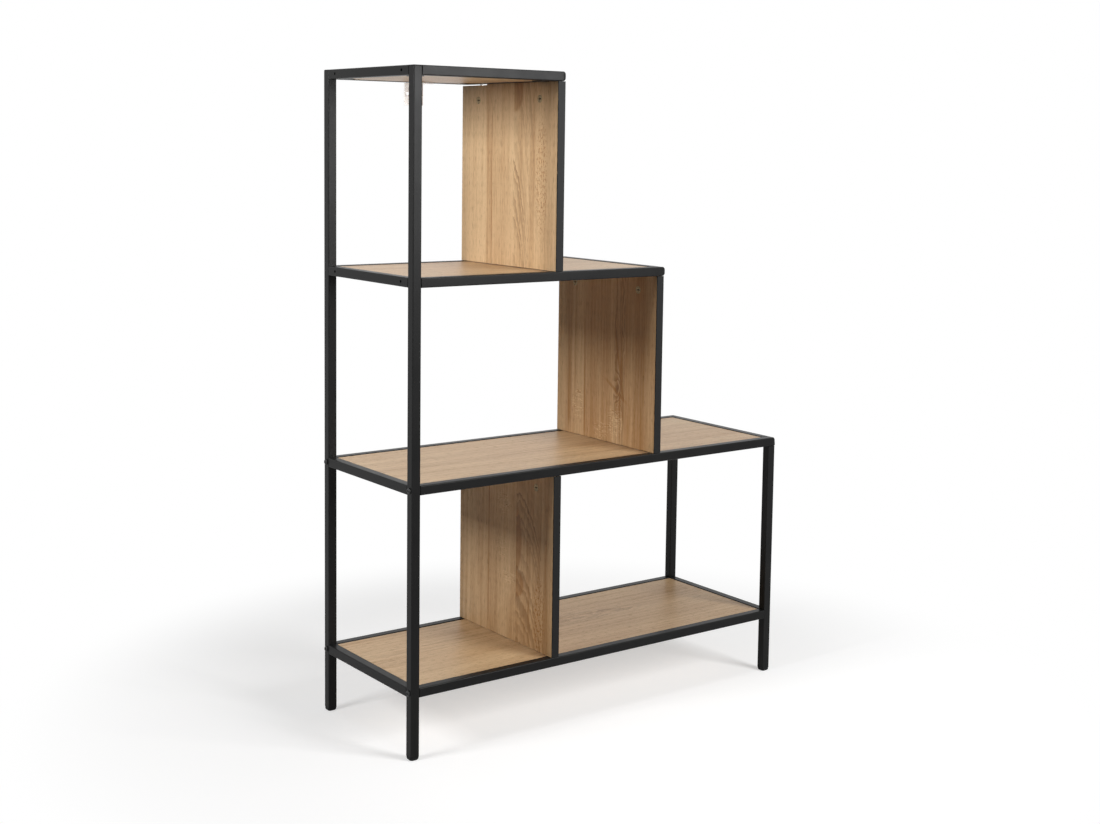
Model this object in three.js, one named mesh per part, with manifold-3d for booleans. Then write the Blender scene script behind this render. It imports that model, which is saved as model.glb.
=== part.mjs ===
// A staircase bookshelf: a black frame of square steel tube with four oak-look boards on steps that get
// narrower upwards, three upright divider panels hung from cam fittings, push-in plastic feet and caps,
// and a steel bracket under the top shelf that ties the shelf to a wall.
// Millimetres, +Z up, +X to the right, +Y to the rear. The feet stand on Z = 0, and X = Y = 0 is the
// middle of everything. The pieces are first placed from the frame's front left corner at the floor.

import * as THREE from 'three';
import { mergeVertices } from 'three/addons/utils/BufferGeometryUtils.js';
import Module from 'manifold-3d';

const wasm = await Module();
wasm.setup();

// Overall sizes
const frameWidth = 900;
const middleWidth = 584;
const topWidth = 332;
const frameDepth = 330;
const bottomShelfTop = 135;
const shelfPitch = 375;
const firstDividerMiddle = 325;

// Square steel tube
const tubeSide = 18;
const tubeCorner = 2;
const tubeWall = 1.2;

// Clearances: seam is left between pieces that bear on each other
const seam = 0.3;
const cutOverrun = 1;

// Melamine boards and panels
const sheetThick = 16;
const boardLip = 1;
const boardGap = 1;
const panelRearSetIn = 2;
const reliefDepth = 2.4;
const reliefLength = 88;
const edgingThick = 2;
const edgingRound = 1;

// Lugs welded to the rails, on which a board lies
const lugThick = 1.5;
const lugReach = 20;
const lugLength = 30;
const lugLap = 5;
const lugInset = 40;
const lugSpacing = 400;

// Holes in the upper left side rails for the wood screws that hold the boards: one to reach in by
// through the outer wall, and one for the screw in the inner wall
const screwedLevels = [2, 3];
const reachHoleDiameter = 5.4;
const screwHoleDiameter = 4;
const screwHoleDrop = 8.5;
const screwHolePlaces = [42, frameDepth - 44];

// Push-in plastic feet and caps
const plugLength = 14;
const footSide = 18.8;
const footHeight = 6;
const footRound = 4;
const footCorner = 5;
const capSide = 17.8;
const postCapHeight = 2;
const postCapRound = 1.5;
const railCapHeight = 5;
const railCapRound = 4.6;
const railCapAside = 1;
const sideRailSetIn = 2.3;

// Bolts that hold the two lower rails to the left posts
const boltDiameter = 6;
const boltLength = 30;
const boltHeadDiameter = 11;
const boltHeadHeight = 3;
const boltSocketWidth = 4;
const boltSocketDepth = 2;
const boltSocketSides = 6;
const nutPlateThick = 4;

// Cam fittings: a turning cam in the panel grips the head of a bolt screwed in above it
const camDiameter = 15;
const camDepth = 12.2;
const camFrontThick = 3.9;
const camWall = 2.5;
const camSlotLength = 9;
const camSlotWidth = 1.6;
const camSlotDepth = 1.8;
const camInset = 60;
const camDrop = 32.2;
const camPocketFloor = 0.3;
const camBoltShankDiameter = 7;
const camBoltNeckDiameter = 4.4;
const camBoltNeckLength = 6.4;
const camBoltHeadDiameter = 7;
const camBoltHeadHeight = 2.5;
const camBoltTipRise = 0.4;
const camBoltThreadDiameter = 6;
const camBoltThreadLength = 10;
const camBoltCollarDiameter = 9;
const camBoltCollarHeight = 1.2;
const camBoltClearance = 0.4;

// Wall bracket under the rear of the top shelf, and its screw
const bracketWidth = 43;
const bracketCentre = 199;
const bracketThick = 2;
const bracketLeg = 42;
const bracketDrop = 44;
const bracketSlotLength = 12;
const bracketSlotWidth = 6;
const bracketSlotSpread = 22;
const bracketSlotDrop = 21;
const bracketScrewInset = 31;
const screwDiameter = 3.5;
const screwLength = 14;
const screwHeadDiameter = 8;
const screwHeadHeight = 2.4;

// How finely round shapes are drawn
const roundSides = 24;
const smallSides = 12;
const cornerSteps = 1;
const edgeSteps = 3;

const levels = [0, 1, 2, 3];
const shelfTops = levels.map((level) => bottomShelfTop + level * shelfPitch);
const shelfRights = [frameWidth, frameWidth, middleWidth, topWidth];
const frameTop = shelfTops[3];
const rows = [['front', tubeSide / 2], ['rear', frameDepth - tubeSide / 2]];
const quarterTurn = Math.PI / 2;

// Materials
const black = { color: 0x1b1c1d, roughness: 0.45, metalness: 0.3 };
const oak = { color: 0xb58a5e, roughness: 0.6, metalness: 0 };
const plastic = { color: 0x141414, roughness: 0.55, metalness: 0 };
const zinc = { color: 0xb9bcc0, roughness: 0.35, metalness: 0.9 };

// A closed three.js geometry as a solid that can be cut and joined. The flat triangles that a lathe
// leaves on its axis are dropped.
function toSolid(geometry) {
  const bare = geometry.clone();
  bare.deleteAttribute('normal');
  bare.deleteAttribute('uv');
  const merged = mergeVertices(bare);
  const corners = [];
  for (let first = 0; first < merged.index.count; first += 3) {
    const [a, b, c] = merged.index.array.slice(first, first + 3);
    if (a !== b && b !== c && c !== a) {
      corners.push(a, b, c);
    }
  }
  return new wasm.Manifold(new wasm.Mesh({
    numProp: 3,
    vertProperties: merged.attributes.position.array,
    triVerts: new Uint32Array(corners),
  }));
}

// A named mesh from a solid.
function toMesh(name, solid, look) {
  const { vertProperties, triVerts } = solid.getMesh();
  const geometry = new THREE.BufferGeometry();
  geometry.setAttribute('position', new THREE.BufferAttribute(vertProperties, 3));
  geometry.setIndex(new THREE.BufferAttribute(triVerts, 1));
  geometry.computeVertexNormals();
  const mesh = new THREE.Mesh(geometry, new THREE.MeshStandardMaterial(look));
  mesh.name = name;
  return mesh;
}

// Turns a geometry that runs along +Z so that it runs along the named axis.
function alongAxis(geometry, axis) {
  if (axis === 'x') {
    geometry.rotateY(quarterTurn);
  }
  if (axis === 'y') {
    geometry.rotateX(-quarterTurn);
  }
  return geometry;
}

// A box between two corners.
function boxSolid(low, high) {
  const size = high.map((value, i) => value - low[i]);
  const centre = high.map((value, i) => (value + low[i]) / 2);
  return toSolid(new THREE.BoxGeometry(...size).translate(...centre));
}

// A cylinder that starts at a point and runs along an axis.
function rodSolid(diameter, length, axis, start, sides = smallSides) {
  const rod = new THREE.CylinderGeometry(diameter / 2, diameter / 2, length, sides);
  rod.rotateX(quarterTurn).translate(0, 0, length / 2);
  return toSolid(alongAxis(rod, axis).translate(...start));
}

// A solid of revolution about +Z from points of radius and height, listed upwards.
function turnedGeometry(profile, sides = smallSides) {
  const points = profile.map(([radius, height]) => new THREE.Vector2(radius, height));
  return new THREE.LatheGeometry(points, sides).rotateX(quarterTurn);
}

// A square outline with round corners, about the origin.
function roundedSquare(side, corner) {
  const middle = side / 2 - corner;
  const outline = new THREE.Shape();
  for (let quarter = 0; quarter < 4; quarter += 1) {
    const right = quarter === 0 || quarter === 3 ? middle : -middle;
    const top = quarter < 2 ? middle : -middle;
    outline.absarc(right, top, corner, quarter * quarterTurn, (quarter + 1) * quarterTurn);
  }
  return outline;
}

// An open-ended square tube that starts at a point, given at the middle of its section.
function tubeSolid(length, axis, start) {
  const outline = roundedSquare(tubeSide, tubeCorner);
  outline.holes.push(roundedSquare(tubeSide - 2 * tubeWall, tubeCorner - tubeWall));
  const tube = new THREE.ExtrudeGeometry(outline, {
    depth: length,
    bevelEnabled: false,
    curveSegments: cornerSteps,
  });
  return toSolid(alongAxis(tube, axis).translate(...start));
}

// A plate that closes a tube's end, with its nut thread.
function nutPlateSolid(axis, start) {
  const plate = new THREE.ExtrudeGeometry(roundedSquare(tubeSide - tubeWall, tubeCorner - tubeWall / 2), {
    depth: nutPlateThick,
    bevelEnabled: false,
    curveSegments: cornerSteps,
  });
  const threadHole = rodSolid(boltDiameter + 2 * seam, nutPlateThick + 2 * cutOverrun, axis,
    [start[0] - cutOverrun, start[1], start[2]]);
  return toSolid(alongAxis(plate, axis).translate(...start)).subtract(threadHole);
}

// A push-in foot or cap: a head from Z = 0 up to its height, then a plug that enters the tube. The head's
// lower edge is a quarter circle, set in no further than aside along Y. A cornered head is full below
// X = 0, where it stands flush on a post.
function plugSolid(side, height, round, corner, aside = round, cornered = false) {
  const outline = roundedSquare(side, corner).getPoints(cornerSteps);
  const points = outline.map(({ x, y }) => [x, y, height]);
  for (let step = 0; step <= edgeSteps; step += 1) {
    const turn = (step / edgeSteps) * quarterTurn;
    const inset = round * (1 - Math.sin(turn));
    const rise = round * (1 - Math.cos(turn));
    for (const { x, y } of outline) {
      const full = cornered && x < 0;
      points.push([full ? x : x * (1 - (2 * inset) / side),
        full ? y : y * (1 - (2 * Math.min(inset, aside)) / side), rise]);
    }
  }
  const head = wasm.Manifold.hull(points);
  const stemSide = tubeSide - 2 * tubeWall - 2 * seam;
  const stem = new THREE.ExtrudeGeometry(roundedSquare(stemSide, tubeCorner - tubeWall), {
    depth: plugLength + height / 2,
    bevelEnabled: false,
    curveSegments: cornerSteps,
  });
  return head.add(toSolid(stem.translate(0, 0, height / 2)));
}

// Places of a shelf's rails. The lowest ones end at the posts, the others in caps.
const underside = (level) => shelfTops[level] - tubeSide;
const tubeEnd = (level) => (level === 0 ? frameWidth : shelfRights[level] - railCapHeight - seam);
const rightRailMiddle = (level) => shelfRights[level] - tubeSide / 2 - (level === 0 ? 0 : sideRailSetIn);
const dividerMiddles = [firstDividerMiddle, rightRailMiddle(2), topWidth - tubeSide / 2];
const boardUnder = (level) => shelfTops[level] - boardLip - sheetThick;
const boltHeight = (level) => shelfTops[level] - tubeSide / 2;
const boltedLevels = [0, 1];

const shelf = new THREE.Group();

function addPiece(name, solid, look) {
  shelf.add(toMesh(name, solid, look));
}

// Posts. The left pair runs the full height and takes the lower rails' bolts; the right pair carries
// the second shelf's rails on its top.
function addPosts() {
  for (const [side, y] of rows) {
    let left = tubeSolid(frameTop - postCapHeight - seam - footHeight - seam, 'z',
      [tubeSide / 2, y, footHeight + seam]);
    for (const level of boltedLevels) {
      const hole = rodSolid(boltDiameter + 2 * seam, tubeSide + 2 * cutOverrun, 'x',
        [-cutOverrun, y, boltHeight(level)]);
      left = left.subtract(hole);
    }
    addPiece(`${side}_left_post`, left, black);
    const rightHeight = underside(1) - seam - footHeight - seam;
    addPiece(`${side}_right_post`,
      tubeSolid(rightHeight, 'z', [frameWidth - tubeSide / 2, y, footHeight + seam]), black);
  }
}

// A lug just under the board, reaching in from a rail's inner face along X or Y. Its place is given by
// the middle of the rail and a place along it. Its lap is welded into the tube, above the underside.
function lugSolid(level, axis, railMiddle, inwards, place) {
  const face = railMiddle + (inwards * tubeSide) / 2;
  const top = boardUnder(level) - seam;
  const slab = (from, to, bottom) => {
    const across = [from, to].sort((a, b) => a - b);
    const along = [place - lugLength / 2, place + lugLength / 2];
    const [x, y] = axis === 'x' ? [across, along] : [along, across];
    return boxSolid([x[0], y[0], bottom], [x[1], y[1], top]);
  };
  const lap = slab(face - inwards * lugLap, face + inwards * lugLap, underside(level));
  return lap.add(slab(face + inwards * seam, face + inwards * lugReach, top - lugThick));
}

// Front and rear rails. The two lowest are drawn to the left posts by bolts.
function addLongRails() {
  for (const level of levels) {
    const start = tubeSide + seam;
    const end = level === 0 ? frameWidth - tubeSide - seam : tubeEnd(level);
    const lugCount = Math.floor((end - start) / lugSpacing);
    for (const [side, y] of rows) {
      const inwards = side === 'front' ? 1 : -1;
      let rail = tubeSolid(end - start, 'x', [start, y, boltHeight(level)]);
      if (boltedLevels.includes(level)) {
        rail = rail.add(nutPlateSolid('x', [start, y, boltHeight(level)]));
      }
      for (let lug = 0; lug < lugCount; lug += 1) {
        const place = start + ((end - start) * (lug + 0.5)) / lugCount;
        rail = rail.add(lugSolid(level, 'y', y, inwards, place));
      }
      addPiece(`${side}_rail_${level + 1}`, rail, black);
    }
  }
}

// Side rails, between the posts or, on the upper right, between the front and rear rails. The two upper
// right ones take the cam bolts of the panels below them, the two upper left ones a board's screws.
function addSideRails() {
  const start = tubeSide + seam;
  const length = frameDepth - 2 * start;
  const lugPlaces = [lugInset, frameDepth - lugInset];
  for (const level of levels) {
    const sides = [['left', tubeSide / 2, 1], ['right', rightRailMiddle(level), -1]];
    for (const [side, x, inwards] of sides) {
      let rail = tubeSolid(length, 'y', [x, start, boltHeight(level)]);
      for (const place of lugPlaces) {
        rail = rail.add(lugSolid(level, 'x', x, inwards, place));
      }
      if (side === 'right' && level > 1) {
        const { boltX, camPlaces } = panelPlace(level - 1);
        for (const [, y] of camPlaces) {
          rail = rail.subtract(rodSolid(camBoltThreadDiameter + 2 * seam, tubeWall + 2 * cutOverrun, 'z',
            [boltX, y, underside(level) - cutOverrun]));
        }
      }
      if (side === 'left' && screwedLevels.includes(level)) {
        for (const y of screwHolePlaces) {
          const z = shelfTops[level] - screwHoleDrop;
          rail = rail.subtract(rodSolid(reachHoleDiameter, tubeWall + 2 * cutOverrun, 'x',
            [-cutOverrun, y, z]));
          rail = rail.subtract(rodSolid(screwHoleDiameter, tubeWall + 2 * cutOverrun, 'x',
            [tubeSide - tubeWall - cutOverrun, y, z]));
        }
      }
      addPiece(`${side}_rail_${level + 1}`, rail, black);
    }
  }
}

// A divider panel's faces, where its two cams sit, and what its cam bolts are screwed into: the board
// above for the first panel, the side rail for the other two. The panel stands on the front and rear rails.
function panelPlace(level) {
  const boltX = dividerMiddles[level];
  return {
    left: boltX - sheetThick / 2,
    right: boltX + sheetThick / 2,
    front: edgingThick + seam,
    rear: frameDepth - panelRearSetIn,
    bottom: shelfTops[level] + seam,
    top: underside(level + 1) - seam,
    camHeight: underside(level + 1) - camDrop,
    boltSeat: level === 0 ? boardUnder(level + 1) : underside(level + 1),
    camPlaces: [['front', camInset], ['rear', frameDepth - camInset]],
    boltX,
  };
}

// Boards lie on the lugs inside their rails. The second has holes for the cam bolts of the panel below
// it, and the top one has a hole for the bracket's screw.
function addBoards() {
  for (const level of levels) {
    const low = [tubeSide + boardGap, tubeSide + boardGap, boardUnder(level)];
    const high = [rightRailMiddle(level) - tubeSide / 2 - boardGap, frameDepth - tubeSide - boardGap,
      shelfTops[level] - boardLip];
    let board = boxSolid(low, high);
    if (level === 1) {
      const { boltX, camPlaces } = panelPlace(level - 1);
      for (const [, y] of camPlaces) {
        const hole = rodSolid(camBoltThreadDiameter + 2 * seam, camBoltThreadLength + seam + cutOverrun, 'z',
          [boltX, y, boardUnder(level) - cutOverrun]);
        board = board.subtract(hole);
      }
    }
    if (level === 3) {
      const tip = underside(level) - seam - bracketThick + screwLength;
      const hole = rodSolid(screwDiameter + 2 * seam, tip + seam - boardUnder(level) + cutOverrun, 'z',
        [bracketCentre, frameDepth - bracketScrewInset, boardUnder(level) - cutOverrun]);
      board = board.subtract(hole);
    }
    addPiece(`shelf_board_${level + 1}`, board, oak);
  }
}

// Divider panels, each with two pockets for the cams and a bore down to each pocket for its bolt. The
// rear of the top edge is cut back. The front edge is covered by a black edging with round corners.
function addPanels() {
  for (const level of dividerMiddles.keys()) {
    const place = panelPlace(level);
    let panel = boxSolid([place.left, place.front, place.bottom], [place.right, place.rear, place.top]);
    panel = panel.subtract(boxSolid(
      [place.left - cutOverrun, place.rear - reliefLength, place.top - reliefDepth],
      [place.right + cutOverrun, place.rear + cutOverrun, place.top + cutOverrun]));
    for (const [, y] of place.camPlaces) {
      const pocket = rodSolid(camDiameter + 2 * seam, camDepth + camPocketFloor + cutOverrun, 'x',
        [place.left - cutOverrun, y, place.camHeight], roundSides);
      const bore = rodSolid(camBoltShankDiameter + 2 * camBoltClearance,
        place.top - place.camHeight + cutOverrun, 'z', [place.boltX, y, place.camHeight]);
      const collarSeat = rodSolid(camBoltCollarDiameter + 2 * camBoltClearance,
        camBoltCollarHeight + seam + cutOverrun, 'z',
        [place.boltX, y, place.boltSeat - camBoltCollarHeight - 2 * seam]);
      panel = panel.subtract(pocket).subtract(bore).subtract(collarSeat);
    }
    addPiece(`divider_panel_${level + 1}`, panel, oak);
    addPiece(`divider_edging_${level + 1}`, edgingSolid(place), plastic);
  }
}

function edgingSolid({ left, right, bottom, top }) {
  const outline = new THREE.Shape();
  outline.moveTo(left, edgingThick);
  outline.absarc(left + edgingRound, edgingRound, edgingRound, Math.PI, 3 * quarterTurn);
  outline.absarc(right - edgingRound, edgingRound, edgingRound, 3 * quarterTurn, 4 * quarterTurn);
  outline.lineTo(right, edgingThick);
  const strip = new THREE.ExtrudeGeometry(outline, {
    depth: top - bottom,
    bevelEnabled: false,
    curveSegments: edgeSteps,
  });
  return toSolid(strip.translate(0, 0, bottom));
}

// A cam about +X from its face at the origin: a cup with a closed front that has a cross recess, and a
// window in its wall. The window is narrow where it grips the bolt's head, at the top, and opens half a
// turn away into a mouth that lets the head through.
function camSolid() {
  const radius = camDiameter / 2;
  const cavityRadius = radius - camWall;
  const boltDepth = sheetThick / 2;
  const neckHalf = camBoltNeckDiameter / 2 + seam;
  const headHalf = camBoltHeadDiameter / 2 + camBoltClearance;
  const body = rodSolid(camDiameter, camDepth, 'x', [0, 0, 0], roundSides);
  const cavity = rodSolid(2 * cavityRadius, camDepth, 'x', [camFrontThick, 0, 0], roundSides);
  const neckAngle = Math.asin(neckHalf / cavityRadius);
  const headAngle = Math.asin(headHalf / cavityRadius);
  const mouthStart = 3 * quarterTurn - headAngle;
  const mouthEnd = 3 * quarterTurn + headAngle;
  const gripStart = quarterTurn - neckAngle;
  const window = windowSolid(gripStart, mouthEnd, boltDepth - neckHalf, boltDepth + neckHalf);
  const mouth = windowSolid(mouthStart, mouthEnd, camFrontThick, camDepth + cutOverrun);
  let cam = body.subtract(cavity).subtract(window).subtract(mouth);
  for (const [wide, tall] of [[camSlotLength, camSlotWidth], [camSlotWidth, camSlotLength]]) {
    cam = cam.subtract(boxSolid([-cutOverrun, -wide / 2, -tall / 2], [camSlotDepth, wide / 2, tall / 2]));
  }
  return cam;
}

// A sector of a thick ring about +X, wide enough to cut through a cam's wall. Angles run from +Y
// towards +Z.
function windowSolid(startAngle, endAngle, startX, endX) {
  const radius = camDiameter / 2;
  const outline = new THREE.Shape();
  outline.absarc(0, 0, radius + cutOverrun, startAngle, endAngle);
  outline.absarc(0, 0, radius - camWall - cutOverrun, endAngle, startAngle, true);
  const sector = new THREE.ExtrudeGeometry(outline, {
    depth: endX - startX,
    bevelEnabled: false,
    curveSegments: smallSides,
  });
  // +X of the outline becomes +Y, +Y becomes +Z and the extrusion runs along +X.
  const turn = new THREE.Matrix4().set(0, 0, 1, startX, 1, 0, 0, 0, 0, 1, 0, 0, 0, 0, 0, 1);
  return toSolid(sector.applyMatrix4(turn));
}

// A cam bolt along +Z, from the tip in the cam at Z = 0 up to its collar and its thread.
function camBoltSolid(seatHeight) {
  const headRadius = camBoltHeadDiameter / 2;
  const neckRadius = camBoltNeckDiameter / 2;
  const shankRadius = camBoltShankDiameter / 2;
  const collarRadius = camBoltCollarDiameter / 2;
  const threadRadius = camBoltThreadDiameter / 2;
  const neckTop = camBoltHeadHeight + camBoltNeckLength;
  return toSolid(turnedGeometry([
    [0, 0],
    [neckRadius, 0],
    [headRadius, camBoltHeadHeight / 2],
    [headRadius, camBoltHeadHeight],
    [neckRadius, camBoltHeadHeight],
    [neckRadius, neckTop],
    [shankRadius, neckTop],
    [shankRadius, seatHeight - camBoltCollarHeight],
    [collarRadius, seatHeight - camBoltCollarHeight],
    [collarRadius, seatHeight],
    [threadRadius, seatHeight],
    [threadRadius, seatHeight + camBoltThreadLength],
    [0, seatHeight + camBoltThreadLength],
  ]));
}

function addCamFittings() {
  for (const level of dividerMiddles.keys()) {
    const { left, camHeight, camPlaces, boltX, boltSeat } = panelPlace(level);
    const tip = camHeight + camBoltTipRise;
    for (const [side, y] of camPlaces) {
      addPiece(`cam_${level + 1}_${side}`, camSolid().translate([left, y, camHeight]), zinc);
      addPiece(`cam_bolt_${level + 1}_${side}`,
        camBoltSolid(boltSeat - seam - tip).translate([boltX, y, tip]), zinc);
    }
  }
}

// A button-head bolt along +X from under its head, with a six-sided socket.
function frameBoltSolid() {
  const headRadius = boltHeadDiameter / 2;
  const shankRadius = boltDiameter / 2;
  const crownRadius = headRadius - boltHeadHeight / 2;
  const bolt = turnedGeometry([
    [0, -boltHeadHeight],
    [crownRadius, -boltHeadHeight],
    [headRadius, -boltHeadHeight / 2],
    [headRadius, 0],
    [shankRadius, 0],
    [shankRadius, boltLength],
    [0, boltLength],
  ]);
  const socketCorners = boltSocketWidth / Math.cos(Math.PI / boltSocketSides);
  const socket = rodSolid(socketCorners, boltSocketDepth + cutOverrun, 'x',
    [-boltHeadHeight - cutOverrun, 0, 0], boltSocketSides);
  return toSolid(alongAxis(bolt, 'x')).subtract(socket);
}

function addFrameBolts() {
  for (const level of boltedLevels) {
    for (const [side, y] of rows) {
      addPiece(`frame_bolt_${level + 1}_${side}`,
        frameBoltSolid().translate([-seam, y, boltHeight(level)]), black);
    }
  }
}

// Feet under the four posts, caps on the two tall posts and caps in the upper rails' right ends.
function addPlugs() {
  for (const [side, y] of rows) {
    for (const [hand, x] of [['left', tubeSide / 2], ['right', frameWidth - tubeSide / 2]]) {
      const foot = plugSolid(footSide, footHeight, footRound, footCorner);
      addPiece(`${side}_${hand}_foot`, foot.translate([x, y, 0]), plastic);
    }
    const postCap = plugSolid(capSide, postCapHeight, postCapRound, tubeCorner).rotate([180, 0, 0]);
    addPiece(`${side}_post_cap`, postCap.translate([tubeSide / 2, y, frameTop]), plastic);
    for (const level of [1, 2, 3]) {
      const railCap = plugSolid(capSide, railCapHeight, railCapRound, tubeCorner, railCapAside, level === 1)
        .rotate([0, -90, 0]);
      addPiece(`${side}_rail_cap_${level + 1}`,
        railCap.translate([shelfRights[level], y, boltHeight(level)]), plastic);
    }
  }
}

// The wall bracket: a level leg under the rear of the top shelf and a leg that hangs at the wall, with
// two slots.
function addBracket() {
  const top = underside(3) - seam;
  const left = bracketCentre - bracketWidth / 2;
  const right = bracketCentre + bracketWidth / 2;
  const levelLeg = boxSolid([left, frameDepth - bracketLeg, top - bracketThick], [right, frameDepth, top]);
  const wallLeg = boxSolid([left, frameDepth - bracketThick, top - bracketDrop], [right, frameDepth, top]);
  let bracket = levelLeg.add(wallLeg);
  const cutStart = frameDepth - bracketThick - cutOverrun;
  for (const shift of [-bracketSlotSpread / 2, bracketSlotSpread / 2]) {
    const middle = bracketCentre + shift;
    const height = top - bracketSlotDrop;
    const straight = (bracketSlotLength - bracketSlotWidth) / 2;
    const cutLength = bracketThick + 2 * cutOverrun;
    const slot = boxSolid([middle - straight, cutStart, height - bracketSlotWidth / 2],
      [middle + straight, cutStart + cutLength, height + bracketSlotWidth / 2])
      .add(rodSolid(bracketSlotWidth, cutLength, 'y', [middle - straight, cutStart, height]))
      .add(rodSolid(bracketSlotWidth, cutLength, 'y', [middle + straight, cutStart, height]));
    bracket = bracket.subtract(slot);
  }
  const screwY = frameDepth - bracketScrewInset;
  const screwHole = rodSolid(screwDiameter + 2 * seam, bracketThick + 2 * cutOverrun, 'z',
    [bracketCentre, screwY, top - bracketThick - cutOverrun]);
  addPiece('wall_bracket', bracket.subtract(screwHole), zinc);
  const screw = turnedGeometry([
    [0, -screwHeadHeight],
    [screwHeadDiameter / 4, -screwHeadHeight],
    [screwHeadDiameter / 2, -screwHeadHeight / 2],
    [screwHeadDiameter / 2, 0],
    [screwDiameter / 2, 0],
    [screwDiameter / 2, screwLength - screwDiameter],
    [0, screwLength],
  ]);
  addPiece('bracket_screw',
    toSolid(screw).translate([bracketCentre, screwY, top - bracketThick - seam]), zinc);
}

addPosts();
addLongRails();
addSideRails();
addBoards();
addPanels();
addCamFittings();
addFrameBolts();
addPlugs();
addBracket();

// The middle of everything goes to X = Y = 0.
const bounds = new THREE.Box3().setFromObject(shelf);
const middle = bounds.getCenter(new THREE.Vector3());
shelf.position.set(-middle.x, -middle.y, -bounds.min.z);

const group = new THREE.Group();
group.add(shelf);

export default group;
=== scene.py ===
# A staircase bookshelf: black powder-coated square tube, oak-print melamine boards and panels, turning
# cams, button bolts, moulded feet and caps, and a zinc wall bracket. Metres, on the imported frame.
from math import cos, pi, radians, sin

import bpy
import numpy as np
from mathutils import Matrix, Vector


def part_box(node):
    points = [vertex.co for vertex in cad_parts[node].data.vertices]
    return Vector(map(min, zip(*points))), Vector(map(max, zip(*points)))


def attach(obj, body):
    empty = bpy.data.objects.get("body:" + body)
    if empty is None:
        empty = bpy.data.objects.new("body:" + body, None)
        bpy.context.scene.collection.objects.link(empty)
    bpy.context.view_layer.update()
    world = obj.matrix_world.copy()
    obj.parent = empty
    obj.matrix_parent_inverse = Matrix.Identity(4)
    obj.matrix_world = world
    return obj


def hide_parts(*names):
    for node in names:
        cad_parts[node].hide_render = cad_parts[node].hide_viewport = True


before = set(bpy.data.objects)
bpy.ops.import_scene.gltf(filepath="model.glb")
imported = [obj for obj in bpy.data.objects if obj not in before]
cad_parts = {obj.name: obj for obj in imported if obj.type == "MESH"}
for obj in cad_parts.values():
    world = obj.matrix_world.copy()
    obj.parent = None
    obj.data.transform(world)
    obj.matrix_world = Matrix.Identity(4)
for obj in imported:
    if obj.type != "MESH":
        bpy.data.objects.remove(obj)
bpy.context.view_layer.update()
mm = 0.001
print("frame loaded:", len(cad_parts), "CAD nodes")


# Surfaces. Each one is its points, its four-sided faces and its flat end faces.

def outlines(width, depth, corner, steps):
    # rectangles with round corners: four corner centres, a quarter circle round each, anticlockwise
    width, depth, corner = (np.reshape(size, (-1, 1, 1))
                            for size in np.broadcast_arrays(width, depth, corner))
    turn = np.linspace(0, pi / 2, steps + 1) + pi / 2 * np.arange(4)[:, None]
    side = np.array([[1, 1], [-1, 1], [-1, -1], [1, -1]])
    x = side[:, :1] * (width / 2 - corner) + corner * np.cos(turn)
    y = side[:, 1:] * (depth / 2 - corner) + corner * np.sin(turn)
    return x.reshape(len(x), -1), y.reshape(len(y), -1)


def skin(x, y, along, ends="flat"):
    # rings carried along Z: a point joins its neighbour on the ring and the same two on the next ring
    points = np.stack(np.broadcast_arrays(x, y, np.reshape(along, (-1, 1))), -1)
    rows, columns = points.shape[:2]
    row = np.arange(rows if ends == "joined" else rows - 1)[:, None]
    column = np.arange(columns)
    this, following, beside = row * columns, (row + 1) % rows * columns, (column + 1) % columns
    quads = np.stack([this + column, this + beside, following + beside, following + column], -1)
    caps = [column[::-1], column + (rows - 1) * columns] if ends == "flat" else []
    return points.reshape(-1, 3), quads.reshape(-1, 4), caps


def stand(surface, place, axis="z", flipped=False):
    # the half turn and the change of axes lead a shape that runs along Z along another axis
    points, quads, caps = surface
    points = points * [1, -1, -1] if flipped else points
    return np.roll(points, "zxy".index(axis), axis=1) + np.array(place), quads, caps


def roundedEnds(length, edge, steps):
    # how far a ring is set in and how far along it is, over a quarter circle at both ends
    turn = np.linspace(0, pi / 2, steps + 1)
    inset, along = edge * (1 - np.sin(turn)), edge * (1 - np.cos(turn))
    return np.concatenate([inset, inset[::-1]]), np.concatenate([along, length - along[::-1]])


def slab(width, depth, thick, corner, edge, steps=4):
    # a flat sheet: its outline carried through its thickness, set in by a quarter circle at each face
    inset, along = roundedEnds(thick, edge, steps)
    return skin(*outlines(width - 2 * inset, depth - 2 * inset, corner - inset, steps), along)


def hollow(length, side, corner, bore, boreCorner, edge, steps):
    # a tube: the outer outline carried to the far end, then the bore carried back and joined on
    inset, along = roundedEnds(length, edge, 2)
    outer = outlines(side - 2 * inset, side - 2 * inset, corner - inset, steps)
    inner = outlines(bore, bore, [boreCorner] * 2, steps)
    x, y = (np.concatenate(pair) for pair in zip(outer, inner))
    return skin(x, y, np.concatenate([along, [length, 0]]), "joined")


def turned(*parts):
    # a shape about Z: every ring has one distance along and a radius for each angle
    along = np.concatenate([part[0] for part in parts])
    radius = np.concatenate([part[1] for part in parts])
    angle = np.linspace(0, 2 * pi, radius.shape[1], endpoint=False)
    return skin(radius * np.cos(angle), radius * np.sin(angle), along)


def rings(rows, sides):
    # rows of along, radius and form: a circle, six flats at that radius, or a cross with arms that long
    # whose half width is the given share of the arm
    angle = np.linspace(0, 2 * pi, sides, endpoint=False)
    flat = (angle + pi / 6) % (pi / 3) - pi / 6
    arm = (angle + pi / 4) % (pi / 2) - pi / 4
    radius = []
    for row in rows:
        form = row[2] if len(row) > 2 else "round"
        if form == "round":
            share = np.ones(sides)
        elif form == "six":
            share = 1 / np.cos(flat)
        else:
            share = np.minimum(1 / np.cos(arm), form / np.maximum(np.abs(np.sin(arm)), 1e-6))
        radius.append(row[1] * share)
    return np.array([row[0] for row in rows]), np.array(radius)


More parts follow.
